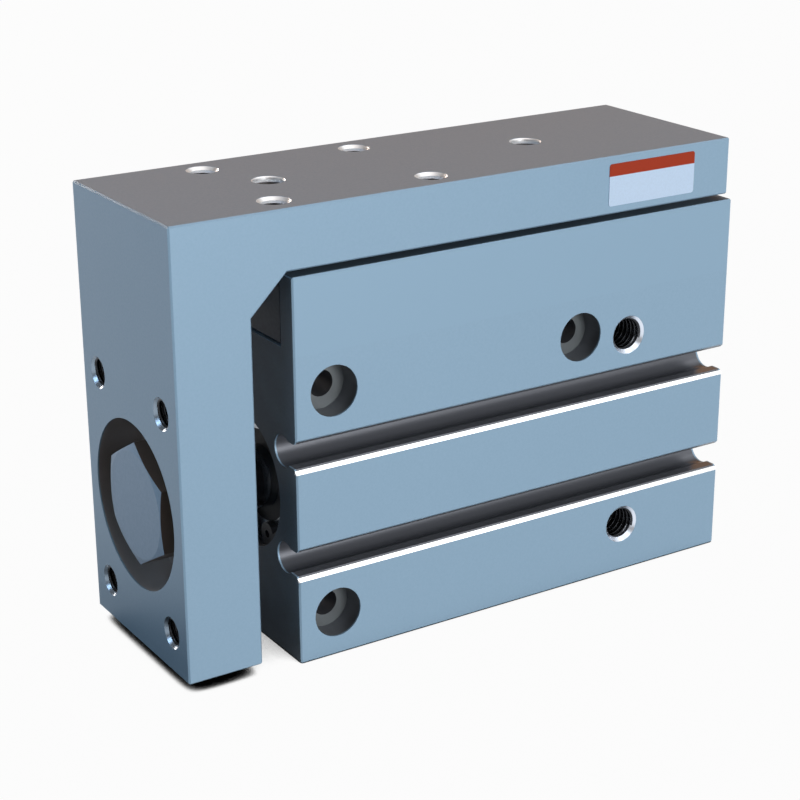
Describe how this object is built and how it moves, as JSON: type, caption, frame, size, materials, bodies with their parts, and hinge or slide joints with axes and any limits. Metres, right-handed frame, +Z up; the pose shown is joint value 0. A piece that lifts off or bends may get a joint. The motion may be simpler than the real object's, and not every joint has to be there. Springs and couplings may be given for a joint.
{
  "type": "pneumatic slide table",
  "caption": "Compact pneumatic slide table: an L-shaped table on a miniature linear guide, moved by an air cylinder in its body.",
  "frame": {"origin": "middle of the base plane, under the middle of the whole length and width with the table retracted", "axes": "+X along the travel, from the end plate to the rear; +Z up, from the body's base to the table; -Y out of the side with the air ports"},
  "size_m": [0.082, 0.0262, 0.058],
  "materials": {
    "anodised_aluminium": "matte clear anodised",
    "plain_aluminium": "turned",
    "anodised_joint": "matte anodised",
    "steel": "ground",
    "spring_steel": "phosphated",
    "dark_steel": "black oxide",
    "hard_chrome": "hard chrome plated",
    "bronze": "sintered",
    "rubber": "nitrile",
    "bumper_rubber": "polyurethane",
    "guide_plastic": "moulded",
    "magnet": "plastic-bonded ferrite"
  },
  "bodies": {
    "housing": {"body": "anodised_aluminium", "air_passage_plugs": "steel", "rod_cover": "plain_aluminium", "rod_bush": "bronze", "rod_seal": "rubber", "rod_cover_o_ring": "rubber", "rod_retaining_ring": "spring_steel", "head_cover": "plain_aluminium", "head_cover_o_ring": "rubber", "head_retaining_ring": "spring_steel", "guide_carriage": "steel", "carriage_end_caps": "guide_plastic", "carriage_end_seals": "rubber", "carriage_screws": "dark_steel", "guide_balls": "hard_chrome"},
    "slide": {"table": "anodised_aluminium", "guide_rail": "steel", "rail_screws": "dark_steel", "piston_rod": "hard_chrome", "piston_front": "plain_aluminium", "piston_magnet": "magnet", "piston_rear": "plain_aluminium", "piston_seal": "rubber", "piston_wear_ring": "guide_plastic", "rod_side_bumper": "bumper_rubber", "head_side_bumper": "bumper_rubber", "joint_bolt": "anodised_joint", "float_bush": "steel", "float_washer": "steel"}
  },
  "joints": [
    {"name": "table_slide", "type": "slide", "parent": "housing", "child": "slide", "axis": [-1, 0, 0], "range_m": [0, 0.02]}
  ]
}
